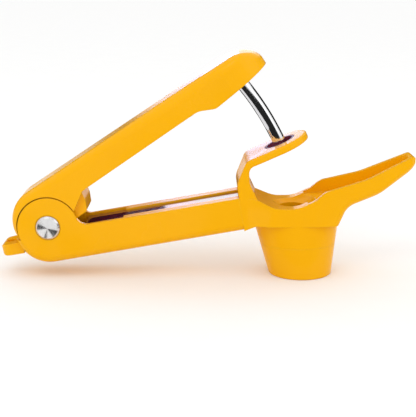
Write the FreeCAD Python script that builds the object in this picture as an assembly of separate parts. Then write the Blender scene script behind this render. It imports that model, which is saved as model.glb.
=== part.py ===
import FreeCAD, Part
import math
import os
from FreeCAD import Vector

# A hand held fruit stoner: two moulded levers on one rivet, a curved steel rod and a fruit cup.
# Frame in mm: origin at the centre of the chute's lower rim, X towards the nose, Z up.

# Pivot and the two lever directions
pivot_x = -111.0
pivot_z = 23.2
handle_rise = 10.0
lever_rise = 33.5
close_angle = 16.5

# Cutting shapes go a little past a face, or right through the part
past = 1.0
beyond = 200.0

# Shared mouldings
body_width = 23.0
wall = 2.2
side_gap = 0.3

# Lower handle, measured along its own axis from the pivot
handle_end = 84.0
handle_top = -1.5
handle_bottom = -16.3
handle_edge_round = 3.5
heel_radius = 14.9
heel_flat = 0.1
heel_cover = 1.6
cheek_radius = 13.2
cheek_wall = 2.4
cheek_blend = 5.0
recess_start = 15.0
cover_thickness = 3.0
cover_gap = 0.15
cover_corner = 1.0
inlay_half_width = 6.0
inlay_level = 0.8
inlay_seat = 1.8
inlay_gap = 0.05
pad_length = 18.0
pad_level = 1.1
cover_rib_width = 1.6
cover_rib_places = (30.0, 46.0, 62.0)

# Hinge
pin_radius = 2.5
pin_fit = 0.05
bush_wall = 1.1
washer_radius = 6.0
washer_thickness = 0.4
washer_gap = 0.05
cap_radius = 5.2
cap_height = 1.3
cap_bevel = 0.7
cap_sink = 0.5
cap_dome_height = 0.35
cap_dome_flat = 0.2

# Lever, measured along its own axis from the pivot
hub_radius = 9.0
hub_room_radius = 12.5
lever_wall = 2.2
lever_top = 17.8
lever_hub_top = 17.5
lever_back = -14.3
lever_back_lean = 1.5
lever_tip_round = 13.5
lever_back_round = 14.5
lever_foot = 5.1
cover_lift = 1.2
chin_reach = 20.2
cover_start = 22.0
chin_drop = -3.6
lever_edge_round = 4.0
inner_round_share = 0.6
drum_gap = 0.5
mouth_height = 4.0
head_x = 103.6
head_radius = 14.0
head_flare = 17.0
head_blend = 4.0
tip_lead = 1.5
neck_run = 7.0
head_gap = 0.3
face_inset = 0.3
lever_cover_thickness = 1.6

# Rod and its socket
rod_radius = 2.8
rod_curve_radius = 120.0
rod_lean = 6.0
rod_tip_depth = 1.4
rod_way_start = 12.0
rod_gap = 0.1
rod_end_gap = 0.8
rod_cross_width = 1.0
rod_cross_depth = 2.2
socket_radius = 5.4
socket_gap = 0.1
rod_pin_radius = 1.0
rod_pin_back = 2.9
rod_pin_length = 14.0

# Torsion spring
wire_radius = 0.65
coil_radius = 5.0
coil_turns = 3.0
coil_pitch = 1.75
spring_cavity_width = 7.8
spring_cavity_radius = 6.4
leg_window_width = 10.8
window_end = 18.8
leg_gap = 0.1
leg_slope = 32.0

# Guide ring and C arm
ring_x = -10.1
ring_z = 59.2
ring_tilt = 24.0
ring_radius = 13.0
ring_reach = 12.3
ring_back = 16.0
ring_thickness = 3.3
ring_rim_round = 0.8
ring_hole_radius = 7.1
bush_inner_radius = 5.9
bush_lip = 0.9
bush_lip_height = 0.5
arm_lean_in = 0.3

# Cup, nose and chute
cup_half_width = 14.0
cup_rim_z = 32.3
dish_depth = 2.8
seat_radius = 14.2
floor_thickness = 2.2
stone_hole_radius = 5.6
hull_round = 3.0
hull_edge_x = 19.0
hull_edge_z = 32.4
hull_edge_slope = 0.62
tenon_start = 69.0
nose_tip_x = 49.2
nose_tip_z = 51.8
nose_tip_half_width = 4.2
nose_middle_half_width = 10.2
nose_wall = 2.2
chute_rim_radius = 14.0
chute_split_z = 14.0
chute_top_z = 24.0
chute_lean = 0.095
chute_flare = 0.2
chute_wall = 1.8
chute_lap = 3.0
chute_gap = 0.15
chute_rim_round = 0.7

# Latch slider
latch_travel = 3.5
tab_width = 15.0
tab_top = -5.4
tab_bottom = -10.4
tab_end = -23.5
tab_hole_radius = 2.4
tab_hole_x = -19.2
tab_round = 5.0
tab_edge_round = 1.8
tab_gap = 0.2
bolt_width = 10.0
bolt_thickness = 1.8
bolt_tip = -10.4
slider_end = -13.2
tooth_width = 1.2
tooth_radius = 10.6
tooth_root = 1.6
tooth_side = 1.0
tooth_gap = 0.05
wing_depth = 1.2
wing_length = 1.6

# Fasteners
screw_radius = 1.25
screw_head_radius = 2.4
screw_head_height = 1.2
screw_sink = 0.3
screw_gap = 0.2
screw_slot_width = 0.6
screw_slot_depth = 0.7
screw_slot_share = 0.62
screw_length = 9.0
screw_places = (73.5, 80.0)
cover_screw_length = 6.0
boss_radius = 2.8
cover_screw_places = (34.0, 78.0)


def v(x, y, z):
    return Vector(x, y, z)


def box(x0, x1, y0, y1, z0, z1):
    return Part.makeBox(x1 - x0, y1 - y0, z1 - z0, v(x0, y0, z0))


def cylinder_y(radius, y0, y1, x=0.0, z=0.0):
    return Part.makeCylinder(radius, y1 - y0, v(x, y0, z), v(0, 1, 0))


def rounded_wire(points, lift):
    # Each point is (u, w, radius); lift turns (u, w) into a place in space.
    count = len(points)
    edges = []
    last = None
    first = None
    for i in range(count):
        u, w, radius = points[i]
        before = points[i - 1]
        after = points[(i + 1) % count]
        a = Vector(before[0] - u, before[1] - w, 0).normalize()
        b = Vector(after[0] - u, after[1] - w, 0).normalize()
        here = Vector(u, w, 0)
        if radius > 0:
            half = a.getAngle(b) / 2
            reach = radius / math.tan(half)
            middle = (a + b).normalize()
            start = here + a * reach
            end = here + b * reach
            mid = here + middle * (radius / math.sin(half) - radius)
            arc = Part.Arc(lift(start.x, start.y), lift(mid.x, mid.y), lift(end.x, end.y)).toShape()
        else:
            start = here
            end = here
            arc = None
        if last is None:
            first = start
        elif (start - last).Length > 1e-6:
            edges.append(Part.makeLine(lift(last.x, last.y), lift(start.x, start.y)))
        if arc is not None:
            edges.append(arc)
        last = end
    if (first - last).Length > 1e-6:
        edges.append(Part.makeLine(lift(last.x, last.y), lift(first.x, first.y)))
    return Part.Wire(edges)


def side_prism(points, half_width):
    # A side outline in X and Z, as thick as twice half_width across Y.
    wire = rounded_wire(points, lambda u, w: v(u, -half_width, w))
    return Part.Face(wire).extrude(v(0, 2 * half_width, 0))


def plan_prism(points, z0, z1):
    # A plan outline in X and Y, from z0 to z1.
    wire = rounded_wire(points, lambda u, w: v(u, w, z0))
    return Part.Face(wire).extrude(v(0, 0, z1 - z0))


def turned(shape, angle):
    # Turned about the Y axis so that a positive angle lifts the +X side.
    copy = shape.copy()
    copy.rotate(v(0, 0, 0), v(0, 1, 0), -angle)
    return copy


def placed(shape, angle):
    # From a frame on the pivot, along a lever, to the part's frame.
    copy = turned(shape, angle)
    copy.translate(v(pivot_x, 0, pivot_z))
    return copy


def on_ring(shape):
    # From a frame on the ring's top face to the part's frame.
    copy = turned(shape, ring_tilt)
    copy.translate(v(ring_x, 0, ring_z))
    return copy


def in_frame(x, z, angle):
    # A point of the part's frame, seen from a frame on the pivot.
    a = math.radians(angle)
    dx = x - pivot_x
    dz = z - pivot_z
    return dx * math.cos(a) + dz * math.sin(a), dz * math.cos(a) - dx * math.sin(a)


def one(shape):
    # The clean result of a cut or a join.
    return shape.removeSplitter()


def fillet_where(shape, radius, wanted):
    edges = [e for e in shape.Edges if wanted(e)]
    return shape.makeFillet(radius, edges)


def middle_of(edge):
    return edge.valueAt((edge.FirstParameter + edge.LastParameter) / 2)


# Lower handle
half = body_width / 2
inner_half = half - cheek_wall
trough_half = half - wall


def handle_outer():
    heel = -heel_radius - heel_flat
    points = [
        (handle_end, handle_top, 0),
        (handle_end, handle_bottom, 0),
        (heel, handle_bottom, heel_radius),
        (heel, 0.0, 0),
        (0.0, 0.0, 0),
        (0.0, handle_top, 0),
    ]
    bar = side_prism(points, half)
    bar = fillet_where(bar, handle_edge_round, is_low_side_edge)
    bar = bar.cut(box(heel - past, 0, -half - past, half + past, heel_top(), past))
    body = one(bar.fuse(cylinder_y(cheek_radius, -half, half)))
    return fillet_where(body, cheek_blend, is_cheek_corner)


def heel_top():
    return tab_top + heel_cover


def is_cheek_corner(edge):
    m = middle_of(edge)
    at_cheek = 0 < m.x < cheek_radius + past and abs(m.z - handle_top) < 0.2
    return at_cheek and edge.Length > body_width - past and abs(m.y) < 0.1


def is_low_side_edge(edge):
    m = middle_of(edge)
    on_side = abs(abs(m.y) - half) < 0.01
    return on_side and m.z < handle_top - past and m.x < handle_end - past


def make_lower_handle():
    body = handle_outer()
    pocket_floor = handle_bottom + wall
    drum = cylinder_y(hub_room_radius, -inner_half, inner_half)
    pocket = box(0, recess_start, -inner_half, inner_half, pocket_floor, heel_radius)
    above = box(-heel_radius - past, 0, -inner_half, inner_half, heel_top(), heel_radius)
    trough = box(recess_start - past, handle_end + past, -trough_half, trough_half, pocket_floor, past)
    ledge_z = handle_top - cover_thickness
    body = body.cut(drum.fuse([pocket, above, trough]))
    reach = trough_half + past
    for x in cover_rib_places:
        body = body.fuse(box(x, x + cover_rib_width, -reach, reach, pocket_floor - past, ledge_z))
    body = body.cut(cylinder_y(pin_radius, -half - past, half + past))
    body = body.cut(cap_seat(-1).fuse([cap_seat(1), latch_way()]))
    for x in screw_places:
        body = body.cut(screw_way(x))
    return placed(one(body), handle_rise)


def cap_seat(side):
    # A shallow round seat for the hinge cap of one cheek.
    seat = cylinder_y(cap_radius + side_gap, half - cap_sink, half + past)
    if side < 0:
        seat = seat.mirror(v(0, 0, 0), v(0, 1, 0))
    return seat


def screw_way(x):
    # A hole through the floor and a seat for the screw's head, from below.
    low = v(x, 0, handle_bottom - past)
    hole = Part.makeCylinder(screw_radius + screw_gap, wall + 2 * past, low)
    seat = Part.makeCylinder(screw_head_radius + screw_gap, screw_head_height + screw_sink + past, low)
    return hole.fuse(seat)


def inlay_plan(gap):
    # The inlay's outline: a wide pad beside the hinge and a narrower strip to the cup.
    x0 = recess_start + cover_gap
    pad_end = recess_start + pad_length - gap
    w = trough_half - cover_gap
    strip = inlay_half_width - gap
    x1 = handle_end - cover_gap
    return [
        (x0, -w, 0),
        (pad_end, -w, 0),
        (pad_end, -strip, 0),
        (x1, -strip, 0),
        (x1, strip, 0),
        (pad_end, strip, 0),
        (pad_end, w, 0),
        (x0, w, 0),
    ]


def make_handle_cover():
    # A plate that closes the trough, flush with its rails, with a seat for the inlay.
    x0 = recess_start + cover_gap
    x1 = handle_end - cover_gap
    w = trough_half - cover_gap
    r = cover_corner
    points = [(x0, -w, r), (x1, -w, r), (x1, w, r), (x0, w, r)]
    plate = plan_prism(points, handle_top - cover_thickness, handle_top)
    seat = plan_prism(inlay_plan(0), handle_top - inlay_seat, handle_top + past)
    return placed(one(plate.cut(seat)), handle_rise)


def make_handle_inlay():
    # A glossy strip a little below the rails, and lower where the lever's chin swings over it.
    seat = handle_top - inlay_seat
    inlay = plan_prism(inlay_plan(inlay_gap), seat, handle_top - inlay_level)
    corner = recess_start + cover_gap
    pad_end = recess_start + pad_length
    low = box(corner - past, pad_end, -half, half, handle_top - pad_level, handle_top)
    return placed(one(inlay.cut(low)), handle_rise)


# Latch slider
def bolt_level():
    return (tab_top + tab_bottom) / 2


def latch_way():
    # The slot in the heel and the two grooves in the cheeks that the slider runs in.
    w = tab_width / 2 + tab_gap
    end = slider_end + latch_travel + tab_gap
    slot = box(-heel_radius - 2 * past, end, -w, w, tab_bottom - tab_gap, tab_top + tab_gap)
    reach = inner_half + wing_depth + tab_gap
    rise = bolt_thickness / 2 + tab_gap
    x0 = bolt_tip - wing_length - tab_gap
    x1 = bolt_tip + latch_travel + tab_gap
    groove = box(x0, x1, -reach, reach, bolt_level() - rise, bolt_level() + rise)
    return slot.fuse(groove)


def make_latch_slider():
    w = tab_width / 2
    end = slider_end
    r = tab_edge_round
    plan = [(tab_end, -w, tab_round), (end, -w, 0), (end, w, 0), (tab_end, w, tab_round)]
    tab = plan_prism(plan, tab_bottom, tab_top)
    side = [(tab_end, tab_bottom, r), (end, tab_bottom, 0), (end, tab_top, 0), (tab_end, tab_top, r)]
    tab = tab.common(side_prism(side, w + past))
    low = bolt_level() - bolt_thickness / 2
    high = bolt_level() + bolt_thickness / 2
    bolt = box(end - past, bolt_tip, -bolt_width / 2, bolt_width / 2, low, high)
    reach = inner_half + wing_depth
    wing = box(bolt_tip - wing_length, bolt_tip, -reach, reach, low, high)
    hole = Part.makeCylinder(tab_hole_radius, 2 * beyond, v(tab_hole_x, 0, -beyond))
    slider = one(tab.fuse([bolt, wing]).cut(hole))
    return placed(slider, handle_rise)


# Hinge
def make_pivot_pin():
    reach = half - cap_sink
    return placed(cylinder_y(pin_radius, -reach, reach), 0)


def make_pivot_cap(side):
    cap = Part.makeCylinder(cap_radius, cap_height, v(0, 0, 0), v(0, 1, 0))
    cap = cap.makeChamfer(cap_bevel, [e for e in cap.Edges if abs(middle_of(e).y - cap_height) < 0.01])
    top_radius = cap_radius - cap_bevel
    dome = Part.makeCone(top_radius, cap_dome_flat, cap_dome_height, v(0, cap_height, 0), v(0, 1, 0))
    cap = cap.fuse(dome)
    cap.translate(v(0, half - cap_sink, 0))
    if side < 0:
        cap = cap.mirror(v(0, 0, 0), v(0, 1, 0))
    return placed(cap, 0)


def hub_half():
    return inner_half - washer_thickness - 2 * washer_gap


def make_hub_bush():
    outer = cylinder_y(pin_radius + pin_fit + bush_wall, -hub_half(), hub_half())
    return placed(outer.cut(cylinder_y(pin_radius + pin_fit, -half, half)), 0)


def make_washer(side):
    y0 = hub_half() + washer_gap
    ring = cylinder_y(washer_radius, y0, y0 + washer_thickness)
    ring = ring.cut(cylinder_y(pin_radius + pin_fit, -half, half))
    if side < 0:
        ring = ring.mirror(v(0, 0, 0), v(0, 1, 0))
    return placed(ring, 0)


# Lever
def face_line():
    # The head's flat face in the lever's frame: the ring's top when closed, less the gap.
    x, z = in_frame(ring_x, ring_z, lever_rise - close_angle)
    slope = math.radians(ring_tilt - (lever_rise - close_angle))
    return x, z + head_gap / math.cos(slope), math.tan(slope)


def face_z(x):
    x0, z0, slope = face_line()
    return z0 + (x - x0) * slope


def cover_level():
    # The lever cover's lower face, flush with the lever's side walls at its thin end.
    return lever_foot + cover_lift


def lever_side(inset):
    tip = head_x + head_radius + tip_lead - inset
    back = head_x - head_radius
    return [
        (lever_back + inset, 2.5, 0),
        (lever_back + lever_back_lean + inset, lever_hub_top - inset, lever_back_round - inset),
        (tip, lever_top - inset, lever_tip_round - inset),
        (tip, face_z(tip), 0),
        (back, face_z(back), 4.0),
        (back - neck_run, cover_level(), 8.0),
        (22.0, lever_foot, 0),
        (14.0, 0.0, 0),
        (0.0, 0.0, 0),
    ]


def lever_plan(inset):
    w = half - inset
    r = head_radius - inset
    return [
        (lever_back - past, -w, 0),
        (head_x - head_flare, -w, 25.0),
        (head_x - head_blend, -r, 10.0),
        (head_x + r, -r, r),
        (head_x + r, r, r),
        (head_x - head_blend, r, 10.0),
        (head_x - head_flare, w, 25.0),
        (lever_back - past, w, 0),
    ]


def lever_outer(inset):
    body = side_prism(lever_side(inset), head_radius + past)
    plan = plan_prism(lever_plan(inset), -beyond, beyond)
    body = body.common(plan)
    return fillet_where(body, lever_edge_round - inset * inner_round_share, is_top_edge)


def make_lever_shell():
    outer = lever_outer(0)
    outer = outer.cut(cylinder_y(cheek_radius + drum_gap, -half - past, half + past))
    hollow = lever_outer(lever_wall).common(box(cover_start, beyond, -beyond, beyond, -beyond, beyond))
    end = head_x + 2 * head_radius
    foot = [
        (cover_start, lever_foot - past, 0),
        (cover_start, lever_foot + mouth_height, 0),
        (head_x, face_z(head_x) + mouth_height, 0),
        (end, face_z(end), 0),
        (end, -head_radius, 0),
    ]
    mouth = side_prism(foot, beyond).common(plan_prism(lever_plan(lever_wall), -beyond, beyond))
    outer = outer.cut(hollow.fuse(mouth))
    hub_w = hub_half()
    hub = cylinder_y(hub_radius, -hub_w, hub_w)
    hub = hub.fuse(side_prism(hub_web(), hub_w))
    body = outer.fuse(hub).cut(tooth(tooth_gap))
    body = body.cut(cylinder_y(spring_cavity_radius, -spring_cavity_width / 2, spring_cavity_width / 2))
    body = body.cut(cylinder_y(pin_radius + pin_fit + bush_wall, -hub_w - past, hub_w + past))
    body = body.cut(spring_window())
    room = lever_outer(lever_wall / 2)
    cover_top = cover_level() + lever_cover_thickness
    for x in cover_screw_places:
        boss = Part.makeCylinder(boss_radius, lever_top, v(x, 0, cover_top)).common(room)
        body = body.fuse(boss.cut(cover_screw_hole(x)))
    return body


def hub_web():
    return [
        (-13.9, 3.2, 0),
        (-11.2, 12.0, 6.0),
        (0.5, 16.4, 14.0),
        (22.0, 16.4, 0),
        (cover_start, cover_level() + 2.0, 0),
        (cover_start, cover_level(), 0),
        (chin_reach + 0.8, lever_foot, 0),
        (chin_reach, 1.0, 6.0),
        (chin_reach - 2.2, chin_drop, 1.5),
        (13.0, chin_drop - 0.2, 3.0),
        (5.0, -7.4, 0),
        (-8.0, -3.9, 0),
    ]


def tooth(gap):
    # The locking tooth, set in the hub: on one side of the bolt when open, on the other when closed.
    x = bolt_tip + latch_travel
    z = bolt_level() + bolt_thickness / 2
    middle = math.degrees(math.atan2(z, x)) + handle_rise - lever_rise + close_angle / 2
    reach = bolt_width / 2 + tooth_side + gap
    rise = tooth_width / 2 + gap
    blade = box(hub_radius - tooth_root - gap, tooth_radius, -reach, reach, -rise, rise)
    return turned(blade, middle)


def make_lock_tooth():
    return placed(tooth(0), lever_rise)


def leg_roof():
    return lever_hub_top - lever_wall


def spring_window():
    # The way out of the hub for the spring's two legs.
    w = leg_window_width / 2
    up = box(-4.5, window_end, -w, w, 3.0, leg_roof())
    down = box(-5.5, 10, -w, w, -12.5, -2.5)
    return up.fuse(down)


def is_top_edge(edge):
    m = middle_of(edge)
    a = edge.valueAt(edge.FirstParameter)
    b = edge.valueAt(edge.LastParameter)
    across = abs(a.x - b.x) < 0.01 and abs(a.z - b.z) < 0.01
    upright = math.hypot(a.x - b.x, a.y - b.y) < 0.01 and m.x > 0
    return not across and not upright and m.z > lever_foot + 3.5 or (m.x < -13 and not across and m.z > 4)


def cover_screw_hole(x):
    return Part.makeCylinder(screw_radius, cover_screw_length + 1, v(x, 0, cover_level()))


def make_cover_screws():
    group = []
    for x in cover_screw_places:
        one_screw = screw(cover_screw_length, screw_head_radius, screw_head_height)
        one_screw.translate(v(x, 0, cover_level() - screw_head_height))
        group.append(one_screw)
    return placed(Part.makeCompound(group), lever_rise)


def make_lever_cover():
    # The plate that closes the lever from below and meets the ring's top when closed.
    x0 = cover_start + cover_gap
    end = head_x + head_radius + tip_lead
    back = head_x - head_radius
    t = lever_cover_thickness
    side = [
        (x0, cover_level(), 0),
        (back - neck_run, cover_level(), 8.0),
        (back, face_z(back) + face_inset, 4.0),
        (end, face_z(end) + face_inset, 0),
        (end, face_z(end) + face_inset + t, 0),
        (back, face_z(back) + face_inset + t, 4.0),
        (back - neck_run, cover_level() + t, 8.0),
        (x0, cover_level() + t, 0),
    ]
    plan = plan_prism(lever_plan(lever_wall + cover_gap), -beyond, beyond)
    plate = side_prism(side, beyond).common(plan)
    plate = plate.cut(rod_way(rod_radius + rod_gap))
    for x in cover_screw_places:
        plate = plate.cut(Part.makeCylinder(screw_radius + screw_gap, 2 * beyond, v(x, 0, -beyond)))
    return plate


# Rod: an arc about a centre on the pivot's side, from its tip in the ring up into the head
def rod_tip():
    a = math.radians(ring_tilt)
    return ring_x + rod_tip_depth * math.sin(a), ring_z - rod_tip_depth * math.cos(a)


def rod_centre():
    x, z = rod_tip()
    a = math.atan2(z - pivot_z, x - pivot_x) + math.pi + math.radians(rod_lean)
    return x + rod_curve_radius * math.cos(a), z + rod_curve_radius * math.sin(a)


def rod_arc(radius, start, length):
    # A round bar along the rod's arc, from a place at start past the tip, in the part's frame.
    cx, cz = rod_centre()
    x, z = rod_tip()
    angle0 = math.degrees(math.atan2(z - cz, x - cx) + start / rod_curve_radius)
    a = math.radians(angle0)
    here = v(cx + rod_curve_radius * math.cos(a), 0, cz + rod_curve_radius * math.sin(a))
    ring = Part.makeCircle(radius, here, v(-math.sin(a), 0, math.cos(a)))
    face = Part.Face(Part.Wire(ring))
    return face.revolve(v(cx, 0, cz), v(0, -1, 0), math.degrees(length / rod_curve_radius))


def rod_way(radius):
    # The rod's hole, in the lever's frame.
    way = rod_arc(radius, rod_way_start, rod_length() - rod_way_start)
    way.translate(v(-pivot_x, 0, -pivot_z))
    return turned(way, -lever_rise)


def rod_length():
    # Up to the inside of the lever's roof, less a gap.
    cx, cz = in_frame(*rod_centre(), lever_rise)
    tip_x, tip_z = in_frame(*rod_tip(), lever_rise)
    roof = lever_top - lever_wall - rod_end_gap
    start = math.atan2(tip_z - cz, tip_x - cx)
    return rod_curve_radius * (math.asin((roof - cz) / rod_curve_radius) - start)


def along_rod(place):
    # A point on the rod's centre line and its direction upwards, in the part's frame.
    cx, cz = rod_centre()
    x, z = rod_tip()
    a = math.atan2(z - cz, x - cx) + place / rod_curve_radius
    point = v(cx + rod_curve_radius * math.cos(a), 0, cz + rod_curve_radius * math.sin(a))
    return point, v(-math.sin(a), 0, math.cos(a))


def make_plunger_rod():
    rod = rod_arc(rod_radius, 0.0, rod_length())
    tip, up = along_rod(0.0)
    side = v(up.z, 0, -up.x)
    r = rod_radius + past
    for across in (side, v(0, 1, 0)):
        slot = box(-r, r, -rod_cross_width / 2, rod_cross_width / 2, -past, rod_cross_depth)
        other = up.cross(across)
        m = FreeCAD.Matrix(across.x, other.x, up.x, tip.x, across.y, other.y, up.y, tip.y,
                           across.z, other.z, up.z, tip.z, 0, 0, 0, 1)
        rod = rod.cut(slot.transformGeometry(m))
    return rod.cut(cross_hole())


def rod_pin_place():
    return rod_length() - rod_pin_back


def cross_hole():
    # The hole for the cross pin, through the socket and the rod.
    place, up = along_rod(rod_pin_place())
    return Part.makeCylinder(rod_pin_radius, 2 * beyond, place - v(0, beyond, 0), v(0, 1, 0))


def make_rod_pin():
    place, up = along_rod(rod_pin_place())
    y = rod_pin_length / 2
    return Part.makeCylinder(rod_pin_radius, 2 * y, place - v(0, y, 0), v(0, 1, 0))


def make_rod_socket():
    # A round block between the cover and the lever's roof, bored for the rod.
    place, up = along_rod(rod_length() - rod_way_start)
    block = Part.makeCylinder(socket_radius, 2 * rod_way_start, place, up)
    block.translate(v(-pivot_x, 0, -pivot_z))
    block = turned(block, -lever_rise)
    room = lever_outer(lever_wall + socket_gap)
    t = lever_cover_thickness + face_inset
    back = head_x - head_radius
    front = head_x + head_radius
    under = [
        (back, face_z(back) + t, 0),
        (front, face_z(front) + t, 0),
        (front, beyond, 0),
        (back, beyond, 0),
    ]
    block = block.common(room).common(side_prism(under, beyond))
    block = block.cut(rod_way(rod_radius))
    return placed(block, lever_rise).cut(cross_hole())


# Guide ring, arm, cup and nose
def ring_point(u, w):
    a = math.radians(ring_tilt)
    return ring_x + u * math.cos(a) - w * math.sin(a), ring_z + u * math.sin(a) + w * math.cos(a)


def handle_point(x, z):
    a = math.radians(handle_rise)
    return pivot_x + x * math.cos(a) - z * math.sin(a), pivot_z + x * math.sin(a) + z * math.cos(a)


def make_arm():
    t = ring_thickness
    foot_x, foot_z = handle_point(handle_end, handle_top)
    low_x, low_z = handle_point(handle_end, handle_top - 3.0)
    side = [
        (*ring_point(ring_radius + 2, 0), 0),
        (*ring_point(-ring_back, 0), 4.5),
        (foot_x - 0.9, foot_z + 6.0, 9.0),
        (foot_x, foot_z, 0),
        (low_x, low_z, 0),
        (low_x + 12.0, low_z - 1.0, 0),
        (foot_x + 9.4, foot_z - 3.2, 0),
        (foot_x + 4.6, foot_z + 6.5, 10.5),
        (*ring_point(-ring_back - arm_lean_in, -t), 3.5),
        (*ring_point(ring_radius + 2, -t), 0),
    ]
    arm = side_prism(side, ring_radius + past)
    r = ring_radius
    plan = [
        (-30.0, -half, 0),
        (-22.0, -half, 20.0),
        (-11.0, -r, 20.0),
        (ring_reach, -r, r),
        (ring_reach, r, r),
        (-11.0, r, 20.0),
        (-22.0, half, 20.0),
        (-30.0, half, 0),
    ]
    arm = arm.common(on_ring(plan_prism(plan, -beyond, beyond)))
    arm = fillet_where(arm, ring_rim_round, is_ring_rim)
    hole = Part.makeCylinder(ring_hole_radius, 2 * (ring_thickness + past), v(0, 0, -ring_thickness - past))
    return arm.cut(on_ring(hole))


def is_ring_rim(edge):
    m = middle_of(edge)
    a = math.radians(ring_tilt)
    u = (m.x - ring_x) * math.cos(a) + (m.z - ring_z) * math.sin(a)
    w = (m.z - ring_z) * math.cos(a) - (m.x - ring_x) * math.sin(a)
    on_face = abs(w) < 0.05 or abs(w + ring_thickness) < 0.05
    return on_face and abs(m.y) > 1 and u > -10


def nose_side():
    bottom_x, bottom_z = handle_point(handle_end, handle_bottom)
    top_x, top_z = handle_point(handle_end, handle_top)
    return [
        (top_x, top_z, 0),
        (-20.6, 36.0, 5.0),
        (-12.0, cup_rim_z - 0.3, 14.0),
        (-3.0, cup_rim_z - 0.3, 14.0),
        (5.2, 35.8, 6.0),
        (9.4, 39.4, 6.0),
        (27.0, 44.1, 30.0),
        (nose_tip_x - 1.5, nose_tip_z + 1.8, 1.0),
        (nose_tip_x + 1.5, nose_tip_z - 0.6, 1.0),
        (46.0, 46.4, 8.0),
        (33.4, 37.4, 20.0),
        (19.2, 32.2, 8.0),
        (15.6, 24.0, 0),
        (-20.4, 24.0, 0),
        (bottom_x, bottom_z, 0),
    ]


def nose_plan():
    w = cup_half_width
    e = nose_tip_half_width
    return [
        (-30.0, -half, 0),
        (-24.0, -half, 12.0),
        (-14.0, -w, 12.0),
        (4.0, -w, 30.0),
        (30.0, -nose_middle_half_width, 40.0),
        (nose_tip_x, -e - 1.5, e),
        (nose_tip_x, e + 1.5, e),
        (30.0, nose_middle_half_width, 40.0),
        (4.0, w, 30.0),
        (-14.0, w, 12.0),
        (-24.0, half, 12.0),
        (-30.0, half, 0),
    ]


def scoop():
    # The hollow of the nose, a ramp that lets the fruit roll into the cup.
    side = [
        (2.0, 33.4, 0),
        (12.0, 34.2, 8.0),
        (24.0, 35.8, 14.0),
        (36.0, 40.6, 14.0),
        (45.6, 48.6, 4.0),
        (47.6, 60.0, 0),
        (2.0, 60.0, 0),
    ]
    plan = [
        (2.0, -cup_half_width + nose_wall, 0),
        (8.0, -cup_half_width + nose_wall, 20.0),
        (30.0, -nose_middle_half_width + nose_wall, 40.0),
        (nose_tip_x - nose_wall, -nose_tip_half_width + 0.4, 3.6),
        (nose_tip_x - nose_wall, nose_tip_half_width - 0.4, 3.6),
        (30.0, nose_middle_half_width - nose_wall, 40.0),
        (8.0, cup_half_width - nose_wall, 20.0),
        (2.0, cup_half_width - nose_wall, 0),
    ]
    return side_prism(side, beyond).common(plan_prism(plan, 0, beyond))


# Chute: round at its rim, oval at its top, with its left side leaning further out
def chute_section(z, inset):
    x = -chute_lean * z
    a = chute_rim_radius + chute_flare * z - inset
    b = chute_rim_radius - inset
    if a - b < 0.001:
        a = b + 0.001
    return Part.Wire(Part.Ellipse(v(x, 0, z), a, b).toShape())


def chute_body(z0, z1, inset):
    return Part.makeLoft([chute_section(z0, inset), chute_section(z1, inset)], True, True)


def make_drip_chute():
    shell = chute_body(0.0, chute_split_z, 0.0)
    shell = fillet_where(shell, chute_rim_round, is_chute_rim)
    lap = chute_body(chute_split_z - past, chute_split_z + chute_lap, chute_wall / 2 + chute_gap / 2)
    shell = shell.fuse(lap)
    return one(shell.cut(chute_body(-past, chute_split_z + chute_lap + past, chute_wall)))


def is_chute_rim(edge):
    return abs(middle_of(edge).z) < 0.01 and abs(edge.valueAt(edge.FirstParameter).z) < 0.01


def stone_way():
    # The middle of the stone hole, where the rod's tip comes down when the lever is closed.
    x, z = rod_tip()
    a = math.atan2(z - pivot_z, x - pivot_x) - math.radians(close_angle)
    r = math.hypot(x - pivot_x, z - pivot_z)
    return pivot_x + r * math.cos(a), pivot_z + r * math.sin(a)


def make_tenon():
    floor = handle_bottom + wall
    top = handle_top - cover_thickness
    w = trough_half - cover_gap
    block = box(tenon_start, handle_end + past, -w, w, floor, top - cover_gap)
    for x in screw_places:
        block = block.cut(Part.makeCylinder(screw_radius, screw_length, v(x, 0, handle_bottom)))
    return placed(block, handle_rise)


def make_fruit_holder():
    body = side_prism(nose_side(), cup_half_width + past).common(plan_prism(nose_plan(), 0, beyond))
    body = fillet_where(body, hull_round, is_hull_edge)
    collar = chute_body(chute_split_z, chute_top_z, 0.0)
    body = body.fuse(collar).fuse(make_arm()).fuse(make_tenon())
    floor_z = cup_rim_z - dish_depth - floor_thickness
    body = body.cut(chute_body(0.0, floor_z, chute_wall))
    body = body.cut(chute_body(0.0, chute_split_z + chute_lap + chute_gap, chute_wall / 2 - chute_gap / 2))
    body = body.cut(scoop())
    x, z = stone_way()
    body = body.cut(Part.makeSphere(seat_radius, v(x, 0, cup_rim_z - dish_depth + seat_radius)))
    depth = dish_depth + floor_thickness + 2 * past
    return body.cut(Part.makeCylinder(stone_hole_radius, depth, v(x, 0, floor_z - past)))


def is_hull_edge(edge):
    m = middle_of(edge)
    a = edge.valueAt(edge.FirstParameter)
    b = edge.valueAt(edge.LastParameter)
    across = abs(a.x - b.x) < 0.01 and abs(a.z - b.z) < 0.01
    upright = math.hypot(a.x - b.x, a.y - b.y) < 0.01
    under = m.z < hull_edge_z + (m.x - hull_edge_x) * hull_edge_slope
    return m.x > hull_edge_x and under and not across and not upright


def make_stripper_bush():
    t = ring_thickness
    bush = Part.makeCylinder(ring_hole_radius, t + bush_lip_height, v(0, 0, -t - bush_lip_height))
    lip = Part.makeCylinder(ring_hole_radius + bush_lip, bush_lip_height, v(0, 0, -t - bush_lip_height))
    bush = bush.fuse(lip)
    hole = Part.makeCylinder(bush_inner_radius, 2 * beyond, v(0, 0, -beyond))
    return on_ring(one(bush.cut(hole)))


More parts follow.
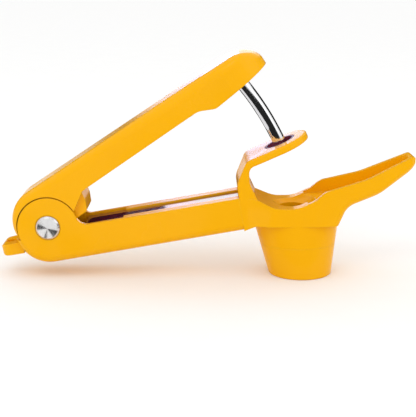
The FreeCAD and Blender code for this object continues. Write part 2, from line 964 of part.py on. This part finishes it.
# Screws
def screw(length, head_radius, head_height):
    # The head's top is at the origin and the shank goes up.
    head = Part.makeCylinder(head_radius, head_height)
    shank = Part.makeCylinder(screw_radius, length)
    body = head.fuse(shank)
    reach = head_radius * screw_slot_share
    for across in (0, 90):
        slot = box(-reach, reach, -screw_slot_width / 2, screw_slot_width / 2, -past, screw_slot_depth)
        slot.rotate(v(0, 0, 0), v(0, 0, 1), across)
        body = body.cut(slot)
    return body


def make_holder_screws():
    group = []
    for x in screw_places:
        one_screw = screw(screw_length - past, screw_head_radius, screw_head_height)
        one_screw.translate(v(x, 0, handle_bottom + screw_sink))
        group.append(one_screw)
    return placed(Part.makeCompound(group), handle_rise)


# Torsion spring: coil about the pin, one leg on the trough's floor, one under the lever's roof
def biarc(p0, t0, p1, t1):
    # Two arcs that leave p0 along t0 and reach p1 along t1.
    d = p1 - p0
    t = t0 + t1
    a = 2 * (1 - t0.dot(t1))
    b = d.dot(t)
    k = (math.sqrt(b * b + a * d.dot(d)) - b) / a
    q0 = p0 + t0 * k
    q1 = p1 - t1 * k
    joint = (q0 + q1) * 0.5
    return [arc_from(p0, t0, joint), arc_from(joint, (q1 - q0).normalize(), p1)]


def arc_from(p, t, q):
    # The arc that leaves p along t and ends at q.
    chord = q - p
    normal = (chord - t * chord.dot(t)).normalize()
    radius = chord.dot(chord) / (2 * chord.dot(normal))
    centre = p + normal * radius
    middle = ((p + q) * 0.5 - centre).normalize()
    return Part.Arc(p, centre + middle * radius, q).toShape()


def coil_start():
    return 270.0 + handle_rise - leg_slope


def coil_total():
    # Whole turns and the part turn from the trough's floor to the lever's roof.
    end = 90.0 + lever_rise + leg_slope
    return coil_turns + (coil_start() - end) / 360.0


def leg_length(depth):
    # From where the leg leaves the coil to a face at that depth from the pivot.
    slope = math.radians(leg_slope)
    start = (coil_radius + wire_radius) * math.cos(slope)
    return (depth - start - leg_gap) / math.sin(slope)


def coil_point(turn):
    # A point of the coil and its direction, in a frame on the pivot; turn counts clockwise turns.
    a = math.radians(coil_start()) - 2 * math.pi * turn
    y = (turn - coil_total() / 2) * coil_pitch
    slope = coil_pitch / (2 * math.pi * coil_radius)
    point = v(coil_radius * math.cos(a), y, coil_radius * math.sin(a))
    way = v(math.sin(a), slope, -math.cos(a)).normalize()
    return point, way


def make_torsion_spring():
    # The first leg comes up from the trough's floor, the last leg goes up to the lever's roof.
    total = coil_total()
    steps = int(math.ceil(total * 4))
    edges = []
    p, t = coil_point(0.0)
    first = p - t * leg_length(-handle_bottom - wall)
    edges.append(Part.makeLine(first, p))
    for i in range(steps):
        q, w = coil_point(total * (i + 1) / steps)
        edges.extend(biarc(p, t, q, w))
        p, t = q, w
    edges.append(Part.makeLine(p, p + t * leg_length(leg_roof())))
    path = Part.Wire(edges)
    circle = Part.Wire(Part.makeCircle(wire_radius, first, edges[0].tangentAt(0)))
    spring = path.makePipeShell([circle], True, False)
    print("coil gap", round(coil_pitch - 2 * wire_radius, 2), "valid", spring.isValid())
    spring.translate(v(pivot_x, 0, pivot_z))
    return spring


def save(name, shape):
    shape.exportStep(os.path.join("parts", name + ".step"))
    print(name, "solids", len(shape.Solids), "valid", shape.isValid(), "volume", round(shape.Volume, 1))


def main():
    os.makedirs("parts", exist_ok=True)
    save("lower_handle", make_lower_handle())
    save("handle_cover", make_handle_cover())
    save("handle_inlay", make_handle_inlay())
    save("fruit_holder", make_fruit_holder())
    save("drip_chute", make_drip_chute())
    save("stripper_bush", make_stripper_bush())
    save("holder_screws", make_holder_screws())
    save("latch_slider", make_latch_slider())
    save("pivot_pin", make_pivot_pin())
    save("pivot_cap_near", make_pivot_cap(-1))
    save("pivot_cap_far", make_pivot_cap(1))
    save("torsion_spring", make_torsion_spring())
    save("hub_bush", make_hub_bush())
    save("washer_near", make_washer(-1))
    save("washer_far", make_washer(1))
    save("lever_shell", placed(make_lever_shell(), lever_rise))
    save("lock_tooth", make_lock_tooth())
    save("lever_cover", placed(make_lever_cover(), lever_rise))
    save("cover_screws", make_cover_screws())
    save("rod_socket", make_rod_socket())
    save("plunger_rod", make_plunger_rod())
    save("rod_pin", make_rod_pin())


if __name__ == "__main__":
    main()
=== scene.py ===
import math
import bpy
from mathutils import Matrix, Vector


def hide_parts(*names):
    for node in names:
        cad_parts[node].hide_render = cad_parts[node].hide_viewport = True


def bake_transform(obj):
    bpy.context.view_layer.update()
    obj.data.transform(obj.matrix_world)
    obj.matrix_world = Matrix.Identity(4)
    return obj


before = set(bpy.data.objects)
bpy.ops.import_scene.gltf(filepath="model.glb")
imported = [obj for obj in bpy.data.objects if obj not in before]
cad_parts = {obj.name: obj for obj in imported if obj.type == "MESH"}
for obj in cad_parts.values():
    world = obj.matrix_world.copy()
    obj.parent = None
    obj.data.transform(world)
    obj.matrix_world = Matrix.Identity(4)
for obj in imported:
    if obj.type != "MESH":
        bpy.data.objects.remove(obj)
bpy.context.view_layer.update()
print("frame loaded:", len(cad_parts), "nodes")

mm = 0.001                                      # one millimetre in metres
pivot = {"x": -111.0 * mm, "z": 23.2 * mm}      # the rivet's axis, which runs along Y


# Node helpers: put makes a node with its inputs, wire joins two sockets

def put(tree, kind, settings=None, **inputs):
    node = tree.nodes.new(kind)
    for key, value in (settings or {}).items():
        setattr(node, key, value)
    for key, value in inputs.items():
        node.inputs[key].default_value = value
    return node


def wire(tree, source, target):
    tree.links.new(source, target)


def math2(tree, operation, a, b=None, clamp=False):
    node = put(tree, "ShaderNodeMath", settings={"operation": operation, "use_clamp": clamp})
    for index, value in enumerate((a, b)):
        if value is None:
            continue
        if isinstance(value, (int, float)):
            node.inputs[index].default_value = value
        else:
            wire(tree, value, node.inputs[index])
    return node.outputs[0]


def remap(tree, value, fromLow, fromHigh, toLow=0.0, toHigh=1.0, smooth=False):
    node = put(tree, "ShaderNodeMapRange")
    node.interpolation_type = "SMOOTHSTEP" if smooth else "LINEAR"
    wire(tree, value, node.inputs["Value"])
    limits = {"From Min": fromLow, "From Max": fromHigh, "To Min": toLow, "To Max": toHigh}
    for name, number in limits.items():
        node.inputs[name].default_value = number
    return node.outputs["Result"]


def mixColour(tree, factor, a, b):
    node = put(tree, "ShaderNodeMix", settings={"data_type": "RGBA", "blend_type": "MIX"})
    for index, value in ((0, factor), (6, a), (7, b)):
        if isinstance(value, tuple):
            node.inputs[index].default_value = value
        else:
            wire(tree, value, node.inputs[index])
    return node.outputs[2]


floatSocket = "NodeSocketFloat"
vectorSocket = "NodeSocketVector"


def newGroup(name, inputs, outputs):
    # Inputs are numbers with their first values, outputs are sockets with their kinds
    tree = bpy.data.node_groups.new(name, "ShaderNodeTree")
    for socketName, value in inputs:
        socket = tree.interface.new_socket(socketName, in_out="INPUT", socket_type=floatSocket)
        socket.default_value = value
    for socketName, kind in outputs:
        tree.interface.new_socket(socketName, in_out="OUTPUT", socket_type=kind)
    return tree, tree.nodes.new("NodeGroupInput").outputs, tree.nodes.new("NodeGroupOutput").inputs


def useGroup(tree, group, **inputs):
    node = tree.nodes.new("ShaderNodeGroup")
    node.node_tree = group
    for key, value in inputs.items():
        node.inputs[key].default_value = value
    return node


# Shared effects

def buildSoftEdge():
    # Rounds small moulded edges for the light and masks where they are
    tree, given, out = newGroup("softEdge", [("radius", 0.0004), ("reach", 0.06)],
                                [("normal", vectorSocket), ("edge", floatSocket)])
    bevel = put(tree, "ShaderNodeBevel", settings={"samples": 4})
    wire(tree, given["radius"], bevel.inputs["Radius"])
    geometry = put(tree, "ShaderNodeNewGeometry")
    dot = put(tree, "ShaderNodeVectorMath", settings={"operation": "DOT_PRODUCT"})
    wire(tree, bevel.outputs[0], dot.inputs[0])
    wire(tree, geometry.outputs["Normal"], dot.inputs[1])
    away = math2(tree, "SUBTRACT", 1.0, dot.outputs["Value"])
    share = math2(tree, "DIVIDE", away, given["reach"], clamp=True)
    wire(tree, bevel.outputs[0], out["normal"])
    wire(tree, share, out["edge"])
    return tree


grainShape = {"fineScale": 5.0, "fineShare": 0.35, "streak": (0.3, 0.7)}


def buildMouldGrain():
    # Faint flow streaks and orange peel of a polished mould
    tree, given, out = newGroup("mouldGrain", [("size", 900.0), ("flow", 60.0)],
                                [("height", floatSocket), ("streak", floatSocket)])
    place = put(tree, "ShaderNodeTexCoord").outputs["Object"]
    peel = put(tree, "ShaderNodeTexNoise", Detail=3.0, Roughness=0.6)
    wire(tree, place, peel.inputs["Vector"])
    wire(tree, given["size"], peel.inputs["Scale"])
    fine = put(tree, "ShaderNodeTexNoise", Detail=1.0, Roughness=0.5)
    wire(tree, place, fine.inputs["Vector"])
    wire(tree, math2(tree, "MULTIPLY", given["size"], grainShape["fineScale"]), fine.inputs["Scale"])
    flow = put(tree, "ShaderNodeTexNoise", Detail=4.0, Roughness=0.55, Distortion=0.8)
    wire(tree, place, flow.inputs["Vector"])
    wire(tree, given["flow"], flow.inputs["Scale"])
    fineHeight = math2(tree, "MULTIPLY", fine.outputs["Fac"], grainShape["fineShare"])
    wire(tree, math2(tree, "ADD", peel.outputs["Fac"], fineHeight), out["height"])
    wire(tree, remap(tree, flow.outputs["Fac"], *grainShape["streak"]), out["streak"])
    return tree


# Hair scratches run in two directions, each with its turn and its stretch
handlingShape = {
    "patch": (0.42, 0.68),
    "hair": (0.69, 0.74),
    "hairScale": 110.0,
    "directions": ((0.35, 26.0), (1.9, 19.0)),
    "lean": (1.0, 1.7, 0.6),
}


def buildHandling():
    # Roughness of a handled surface: smudges and hair scratches over a base value
    tree, given, out = newGroup("handling",
                                [("base", 0.2), ("smudge", 0.1), ("scratch", 0.1), ("size", 40.0)],
                                [("roughness", floatSocket), ("scratches", floatSocket)])
    place = put(tree, "ShaderNodeTexCoord").outputs["Object"]
    smudge = put(tree, "ShaderNodeTexNoise", Detail=5.0, Roughness=0.62, Distortion=1.2)
    wire(tree, place, smudge.inputs["Vector"])
    wire(tree, given["size"], smudge.inputs["Scale"])
    patches = remap(tree, smudge.outputs["Fac"], *handlingShape["patch"], smooth=True)
    total = None
    for turn, stretch in handlingShape["directions"]:
        rotation = tuple(turn * share for share in handlingShape["lean"])
        mapping = put(tree, "ShaderNodeMapping", Rotation=rotation, Scale=(stretch, 1.0, 1.0))
        wire(tree, place, mapping.inputs["Vector"])
        lines = put(tree, "ShaderNodeTexNoise", Scale=handlingShape["hairScale"], Detail=2.0, Roughness=0.7)
        wire(tree, mapping.outputs["Vector"], lines.inputs["Vector"])
        hair = remap(tree, lines.outputs["Fac"], *handlingShape["hair"])
        total = hair if total is None else math2(tree, "MAXIMUM", total, hair)
    scratches = math2(tree, "MULTIPLY", total, patches)
    rough = math2(tree, "ADD", given["base"], math2(tree, "MULTIPLY", patches, given["smudge"]))
    rough = math2(tree, "ADD", rough, math2(tree, "MULTIPLY", scratches, given["scratch"]), clamp=True)
    wire(tree, rough, out["roughness"])
    wire(tree, scratches, out["scratches"])
    return tree


dustShape = {"up": (0.35, 1.0), "grains": (0.45, 0.75)}


def buildDustFilm():
    # Light dust that lies on faces that look up
    tree, given, out = newGroup("dustFilm", [("amount", 0.1), ("size", 300.0)], [("mask", floatSocket)])
    geometry = put(tree, "ShaderNodeNewGeometry")
    split = put(tree, "ShaderNodeSeparateXYZ")
    wire(tree, geometry.outputs["Normal"], split.inputs[0])
    up = remap(tree, split.outputs["Z"], *dustShape["up"])
    noise = put(tree, "ShaderNodeTexNoise", Detail=6.0, Roughness=0.75)
    wire(tree, put(tree, "ShaderNodeTexCoord").outputs["Object"], noise.inputs["Vector"])
    wire(tree, given["size"], noise.inputs["Scale"])
    grains = remap(tree, noise.outputs["Fac"], *dustShape["grains"])
    wire(tree, math2(tree, "MULTIPLY", math2(tree, "MULTIPLY", up, grains), given["amount"]), out["mask"])
    return tree


def buildTurnedRings():
    # Fine rings left by a lathe round an axis along Y through a centre, in metres
    tree, given, out = newGroup("turnedRings", [("centreX", 0.0), ("centreZ", 0.0), ("pitch", 0.00025)],
                                [("height", floatSocket)])
    split = put(tree, "ShaderNodeSeparateXYZ")
    wire(tree, put(tree, "ShaderNodeTexCoord").outputs["Object"], split.inputs[0])
    dx = math2(tree, "SUBTRACT", split.outputs["X"], given["centreX"])
    dz = math2(tree, "SUBTRACT", split.outputs["Z"], given["centreZ"])
    squares = math2(tree, "ADD", math2(tree, "MULTIPLY", dx, dx), math2(tree, "MULTIPLY", dz, dz))
    radius = math2(tree, "SQRT", squares)
    rings = put(tree, "ShaderNodeTexNoise", settings={"noise_dimensions": "1D"},
                Scale=1.0, Detail=2.0, Roughness=0.8)
    wire(tree, math2(tree, "DIVIDE", radius, given["pitch"]), rings.inputs["W"])
    wire(tree, rings.outputs["Fac"], out["height"])
    return tree


softEdge = buildSoftEdge()
mouldGrain = buildMouldGrain()
handling = buildHandling()
dustFilm = buildDustFilm()
turnedRings = buildTurnedRings()
print("shared effects built")


# Materials

def newMaterial(name, constants=None):
    # A material, its tree and its shader; the constants go on the shader's own sockets
    material = bpy.data.materials.new(name)
    material.use_nodes = True
    tree = material.node_tree
    shader = tree.nodes["Principled BSDF"]
    for socket, value in (constants or {}).items():
        shader.inputs[socket].default_value = value
    return material, tree, shader


def bumped(tree, shader, height, distance, normal):
    bump = put(tree, "ShaderNodeBump", Distance=distance)
    wire(tree, height, bump.inputs["Height"])
    wire(tree, normal, bump.inputs["Normal"])
    wire(tree, bump.outputs["Normal"], shader.inputs["Normal"])


yellowShell = {
    "colour": (0.870, 0.418, 0.0012, 1.0),
    "deep": (0.842, 0.394, 0.0012, 1.0),
    "deepShare": 0.35,
    "worn": (1.0, 0.60, 0.03, 1.0),
    "wornShare": 0.45,
    "dustColour": (0.80, 0.76, 0.68, 1.0),
    "edge": {"radius": 0.45 * mm, "reach": 0.08},
    "grain": {"size": 700.0, "flow": 55.0},
    "touch": {"base": 0.18, "smudge": 0.10, "scratch": 0.16, "size": 34.0},
    "dust": {"amount": 0.05, "size": 420.0},
    "grainDepth": 0.012 * mm,
    "scratchDepth": 0.8,
    "constants": {"IOR": 1.49, "Specular IOR Level": 0.12, "Coat Weight": 0.03, "Coat Roughness": 0.06},
}

# Painted shade: the inlay's dark plum colour stands in for the shade seen through the slot between the
# handle's rails; its glossy coat is real
paintedShadeInlay = {
    "colour": (0.150, 0.012, 0.045, 1.0),
    "deep": (0.085, 0.006, 0.028, 1.0),
    "deepShare": 1.0,
    "worn": (0.34, 0.10, 0.17, 1.0),
    "wornShare": 0.6,
    "dustColour": (0.62, 0.52, 0.52, 1.0),
    "edge": {"radius": 0.3 * mm, "reach": 0.08},
    "grain": {"size": 900.0, "flow": 90.0},
    "touch": {"base": 0.06, "smudge": 0.04, "scratch": 0.2, "size": 60.0},
    "dust": {"amount": 0.12, "size": 500.0},
    "grainDepth": 0.012 * mm,
    "scratchDepth": 0.0,
    "constants": {"Coat Weight": 1.0, "Coat IOR": 1.9, "Coat Roughness": 0.05},
}

# Painted shade: the bush takes the inlay's dark plum, which stands in for the shade inside the ring's hole
paintedShadeBush = {
    **paintedShadeInlay,
    "touch": {"base": 0.38, "smudge": 0.12, "scratch": 0.2, "size": 60.0},
    "constants": {},
}


def makeMoulded(name, look):
    material, tree, shader = newMaterial(name, look["constants"])
    edge = useGroup(tree, softEdge, **look["edge"])
    grain = useGroup(tree, mouldGrain, **look["grain"])
    touch = useGroup(tree, handling, **look["touch"])
    dust = useGroup(tree, dustFilm, **look["dust"])
    deep = remap(tree, grain.outputs["streak"], 0.0, 1.0, 0.0, look["deepShare"])
    worn = remap(tree, edge.outputs["edge"], 0.0, 1.0, 0.0, look["wornShare"])
    colour = mixColour(tree, deep, look["colour"], look["deep"])
    colour = mixColour(tree, worn, colour, look["worn"])
    colour = mixColour(tree, dust.outputs["mask"], colour, look["dustColour"])
    wire(tree, colour, shader.inputs["Base Color"])
    wire(tree, touch.outputs["roughness"], shader.inputs["Roughness"])
    scratches = math2(tree, "MULTIPLY", touch.outputs["scratches"], look["scratchDepth"])
    height = math2(tree, "SUBTRACT", grain.outputs["height"], scratches)
    bumped(tree, shader, height, look["grainDepth"], edge.outputs["normal"])
    return material


rodChrome = {
    "colour": (0.86, 0.865, 0.875, 1.0),
    "scratched": (0.62, 0.62, 0.64, 1.0),
    "edge": {"radius": 0.15 * mm, "reach": 0.2},
    "touch": {"base": 0.045, "smudge": 0.05, "scratch": 0.12, "size": 120.0},
    "scratchDepth": 0.002 * mm,
    "constants": {"Metallic": 1.0},
}


def makeChrome(name, look):
    material, tree, shader = newMaterial(name, look["constants"])
    edge = useGroup(tree, softEdge, **look["edge"])
    touch = useGroup(tree, handling, **look["touch"])
    colour = mixColour(tree, touch.outputs["scratches"], look["colour"], look["scratched"])
    wire(tree, colour, shader.inputs["Base Color"])
    wire(tree, touch.outputs["roughness"], shader.inputs["Roughness"])
    bumped(tree, shader, touch.outputs["scratches"], look["scratchDepth"], edge.outputs["normal"])
    return material


rivetCap = {
    "groove": (0.66, 0.66, 0.665, 1.0),
    "ridge": (0.86, 0.86, 0.865, 1.0),
    "rings": {"centreX": pivot["x"], "centreZ": pivot["z"], "pitch": 0.11 * mm},
    "edge": {"radius": 0.15 * mm, "reach": 0.2},
    "touch": {"base": 0.17, "smudge": 0.02, "scratch": 0.05, "size": 150.0},
    "ringDepth": 0.002 * mm,
    "constants": {"Metallic": 1.0, "Anisotropic": 1.0, "Anisotropic Rotation": 0.25},
}


def makeSpunSteel(name, look):
    # Fine rings round the rivet's axis spread each light into a fan
    material, tree, shader = newMaterial(name, look["constants"])
    rings = useGroup(tree, turnedRings, **look["rings"])
    touch = useGroup(tree, handling, **look["touch"])
    edge = useGroup(tree, softEdge, **look["edge"])
    colour = mixColour(tree, rings.outputs["height"], look["groove"], look["ridge"])
    wire(tree, colour, shader.inputs["Base Color"])
    wire(tree, touch.outputs["roughness"], shader.inputs["Roughness"])
    bumped(tree, shader, rings.outputs["height"], look["ringDepth"], edge.outputs["normal"])
    tangent = put(tree, "ShaderNodeTangent", settings={"direction_type": "RADIAL", "axis": "Y"})
    wire(tree, tangent.outputs[0], shader.inputs["Tangent"])
    return material


screwSteel = {
    "colour": (0.62, 0.62, 0.63, 1.0),
    "dark": (0.42, 0.42, 0.44, 1.0),
    "bright": (0.9, 0.9, 0.9, 1.0),
    "edge": {"radius": 0.12 * mm, "reach": 0.2},
    "grain": {"size": 2200.0, "flow": 400.0},
    "touch": {"base": 0.28, "smudge": 0.12, "scratch": 0.2, "size": 200.0},
    "grainDepth": 0.006 * mm,
    "constants": {"Metallic": 1.0},
}

springSteel = {
    **screwSteel,
    "colour": (0.36, 0.36, 0.37, 1.0),
    "dark": (0.22, 0.22, 0.24, 1.0),
    "touch": {"base": 0.3, "smudge": 0.12, "scratch": 0.2, "size": 200.0},
}


def makeSteel(name, look):
    material, tree, shader = newMaterial(name, look["constants"])
    edge = useGroup(tree, softEdge, **look["edge"])
    grain = useGroup(tree, mouldGrain, **look["grain"])
    touch = useGroup(tree, handling, **look["touch"])
    body = mixColour(tree, grain.outputs["streak"], look["colour"], look["dark"])
    body = mixColour(tree, edge.outputs["edge"], body, look["bright"])
    wire(tree, body, shader.inputs["Base Color"])
    wire(tree, touch.outputs["roughness"], shader.inputs["Roughness"])
    bumped(tree, shader, grain.outputs["height"], look["grainDepth"], edge.outputs["normal"])
    return material


paleNylon = {
    "colour": (0.80, 0.77, 0.68, 1.0),
    "deep": (0.70, 0.66, 0.56, 1.0),
    "edge": {"radius": 0.15 * mm, "reach": 0.1},
    "grain": {"size": 1500.0, "flow": 200.0},
    "touch": {"base": 0.48, "smudge": 0.15, "scratch": 0.1, "size": 200.0},
    "grainDepth": 0.01 * mm,
}

darkNylon = {
    **paleNylon,
    "colour": (0.05, 0.05, 0.055, 1.0),
    "deep": (0.025, 0.025, 0.03, 1.0),
}


def makeNylon(name, look):
    material, tree, shader = newMaterial(name)
    edge = useGroup(tree, softEdge, **look["edge"])
    grain = useGroup(tree, mouldGrain, **look["grain"])
    touch = useGroup(tree, handling, **look["touch"])
    body = mixColour(tree, grain.outputs["streak"], look["colour"], look["deep"])
    wire(tree, body, shader.inputs["Base Color"])
    wire(tree, touch.outputs["roughness"], shader.inputs["Roughness"])
    bumped(tree, shader, grain.outputs["height"], look["grainDepth"], edge.outputs["normal"])
    return material


materials = {
    "yellow": makeMoulded("polishedYellowPlastic", yellowShell),
    "paintedShadeInlay": makeMoulded("glossPaintedShadeInlay", paintedShadeInlay),
    "paintedShadeBush": makeMoulded("softPaintedShadeBush", paintedShadeBush),
    "chrome": makeChrome("polishedChromeRod", rodChrome),
    "spun": makeSpunSteel("spunSteelCap", rivetCap),
    "screw": makeSteel("zincScrew", screwSteel),
    "spring": makeSteel("springWire", springSteel),
    "nylon": makeNylon("naturalNylon", paleNylon),
    "darkNylon": makeNylon("darkNylon", darkNylon),
}

nodeFinish = {
    "lower_handle": "yellow", "fruit_holder": "yellow", "drip_chute": "yellow", "lever_shell": "yellow",
    "lever_cover": "yellow", "latch_slider": "yellow", "handle_cover": "yellow", "handle_inlay": "paintedShadeInlay",
    "stripper_bush": "paintedShadeBush",
    "plunger_rod": "chrome", "pivot_cap_near": "spun", "pivot_cap_far": "spun", "pivot_pin": "screw",
    "holder_screws": "screw", "cover_screws": "screw", "lock_tooth": "screw", "rod_pin": "screw",
    "torsion_spring": "spring",
    "washer_near": "nylon", "washer_far": "nylon", "hub_bush": "nylon", "rod_socket": "darkNylon",
}


def finishNodes():
    for name, finish in nodeFinish.items():
        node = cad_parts[name]
        node.data.materials.clear()
        node.data.materials.append(materials[finish])


finishNodes()
print("materials set on", len(nodeFinish), "nodes")


# The spring winds up as the lever closes: one leg stays with the base, the other goes with the lever. Here
# the spring's mesh is copied into a piece of its own with its transform baked in, and the CAD spring is
# hidden


def makeWindingSpring():
    piece = bpy.data.objects.new("winding_spring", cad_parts["torsion_spring"].data.copy())
    bpy.context.scene.collection.objects.link(piece)
    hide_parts("torsion_spring")
    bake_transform(piece)


makeWindingSpring()


# Studio: pale floor, white surround, soft boxes and cards that only reflections see

studio = {
    "floorSize": 9.0,
    "floorColour": (0.945, 0.945, 0.94, 1.0),
    "floorDeep": (0.915, 0.915, 0.91, 1.0),
    "floorRoughness": 0.9,
    "surround": 1.0,
    "diffuseSurround": 1.05,
    "glossSurround": (0.85, 1.0),
    "skyHeights": (-0.1, 0.9),
    "aim": (-0.04, 0.0, 0.04),
    "key": {"place": (-0.35, -0.75, 0.95), "size": 0.6, "power": 1.6},
    "fill": {"place": (0.75, -0.5, 0.6), "size": 0.7, "power": 0.6},
}

# Lengths of the cards, in metres: the back wall is far behind the object
backWall = 1.5
horizon = 0.32
overFloor = 0.001

white = (1.0, 0.985, 0.99, 1.0)
rose = (1.0, 0.84, 0.88, 1.0)
lavender = (0.36, 0.58, 1.0, 1.0)


def onWall(left, right, low, high):
    return [(left, backWall, low), (right, backWall, low), (right, backWall, high), (left, backWall, high)]


def flat(height, *points):
    return [(x, y, height) for x, y in points]


# Each card has its corners, how much it glows and its tint; one that doesn't glow is dark
cards = {
    "ringBack": (onWall(-0.25, -0.05, 0.0, horizon), 5.6, lavender),
    "stripLow": (onWall(-0.318, -0.25, 0.0, horizon), 1.3, rose),
    "backdropLow": (onWall(-0.05, 1.1, 0.0, horizon), 2.2, rose),
    "stripBack": (onWall(-0.25, -0.19, horizon, 0.8), 1.7, rose),
    "backdropHigh": (onWall(-0.19, 1.1, horizon, 0.8), 1.5, white),
    "darkBackLow": (onWall(-6.0, -0.318, 0.0, horizon), 0.0, white),
    "darkBackHigh": (onWall(-6.0, -0.25, horizon, 1.2), 0.0, white),
    "frontTable": (flat(0.03, (-0.09, -0.36), (0.36, -0.36), (0.36, -0.02), (-0.09, -0.02)), 0.02, white),
    "frontFloor": (flat(overFloor, (-0.045, -0.30), (0.20, -0.30), (0.20, -0.03), (-0.045, -0.03)),
                   0.02, white),
    "front": ([(-0.05, -0.36, 0.03), (0.32, -0.36, 0.03), (0.32, -0.36, 0.23), (-0.05, -0.36, 0.05)],
              0.02, white),
    "hubRight": (flat(overFloor, (-0.1253, -0.098), (-0.087, -0.064), (-0.075, -0.030), (-0.107, -0.036)),
                 0.0, white),
    "hubRay": (flat(overFloor, (-0.125, -0.096), (-0.1207, -0.064), (-0.116, -0.030), (-0.1215, -0.030)),
               0.0, white),
    "hubLeft": (flat(overFloor, (-0.1253, -0.098), (-0.157, -0.060), (-0.30, -0.12), (-0.25, -0.27)),
                0.0, white),
    "backFloor": (flat(overFloor, (-0.16, 0.05), (-0.07, 0.05), (0.0, 0.30), (-0.12, 0.30)), 0.0, white),
    "behindRod": ([(0.0, 0.24, 0.0), (0.30, 0.06, 0.0), (0.30, 0.06, 0.27), (0.0, 0.24, 0.12)], 0.0, white),
    "besideRod": (flat(0.05, (-0.10, -0.02), (-0.033, -0.02), (-0.033, 0.021), (-0.10, 0.021)), 0.85, white),
}


def makeQuad(name, corners, material):
    # A flat piece of the studio, which isn't part of the object
    mesh = bpy.data.meshes.new(name)
    mesh.from_pydata(corners, [], [(0, 1, 2, 3)])
    mesh.materials.append(material)
    quad = bpy.data.objects.new(name, mesh)
    bpy.context.scene.collection.objects.link(quad)
    return quad


def makeFloor():
    half = studio["floorSize"] / 2
    constants = {"Roughness": studio["floorRoughness"], "Specular IOR Level": 0.0}
    material, tree, shader = newMaterial("paleFloor", constants)
    noise = put(tree, "ShaderNodeTexNoise", Scale=35.0, Detail=6.0, Roughness=0.6)
    wire(tree, put(tree, "ShaderNodeTexCoord").outputs["Object"], noise.inputs["Vector"])
    colour = mixColour(tree, noise.outputs["Fac"], studio["floorColour"], studio["floorDeep"])
    wire(tree, colour, shader.inputs["Base Color"])
    makeQuad("floor", flat(0.0, (-half, -half), (half, -half), (half, half), (-half, half)), material)


def makeSurround():
    world = bpy.data.worlds.new("whiteSurround")
    bpy.context.scene.world = world
    world.use_nodes = True
    tree = world.node_tree
    background = tree.nodes["Background"]
    path = put(tree, "ShaderNodeLightPath")
    split = put(tree, "ShaderNodeSeparateXYZ")
    wire(tree, put(tree, "ShaderNodeTexCoord").outputs["Generated"], split.inputs[0])
    sky = remap(tree, split.outputs["Z"], *studio["skyHeights"], *studio["glossSurround"])
    seen = mixColour(tree, path.outputs["Is Diffuse Ray"], (studio["surround"],) * 3 + (1.0,),
                     (studio["diffuseSurround"],) * 3 + (1.0,))
    level = mixColour(tree, path.outputs["Is Glossy Ray"], seen, sky)
    wire(tree, level, background.inputs["Color"])


def makeLight(name, look):
    light = bpy.data.lights.new(name, "AREA")
    light.shape = "DISK"
    light.size = look["size"]
    light.energy = look["power"]
    lamp = bpy.data.objects.new(name, light)
    bpy.context.scene.collection.objects.link(lamp)
    lamp.location = look["place"]
    away = Vector(look["place"]) - Vector(studio["aim"])
    lamp.rotation_euler = away.to_track_quat("Z", "Y").to_euler()


def makeCard(name, corners, strength, tint):
    constants = {"Base Color": (0.0, 0.0, 0.0, 1.0), "Specular IOR Level": 0.0,
                 "Emission Color": tint, "Emission Strength": strength}
    card = makeQuad(name, corners, newMaterial(name, constants)[0])
    card.visible_camera = False
    card.visible_diffuse = False
    card.visible_shadow = False


makeFloor()
makeSurround()
makeLight("keyLight", studio["key"])
makeLight("fillLight", studio["fill"])
for name, (corners, strength, tint) in cards.items():
    makeCard(name, corners, strength, tint)


# Camera at the photograph's angle

cameraLook = {"place": (-0.0413, -0.4269, 0.1355), "tilt": 76.0, "lens": 85.47, "sensor": 36.0, "near": 0.01}


def makeCamera():
    camera = bpy.data.cameras.new("camera")
    camera.lens = cameraLook["lens"]
    camera.sensor_width = cameraLook["sensor"]
    camera.clip_start = cameraLook["near"]
    holder = bpy.data.objects.new("camera", camera)
    bpy.context.scene.collection.objects.link(holder)
    holder.location = cameraLook["place"]
    holder.rotation_euler = (math.radians(cameraLook["tilt"]), 0.0, 0.0)
    bpy.context.scene.camera = holder
    bpy.context.scene.view_settings.view_transform = "Standard"


makeCamera()
print("studio and camera set")
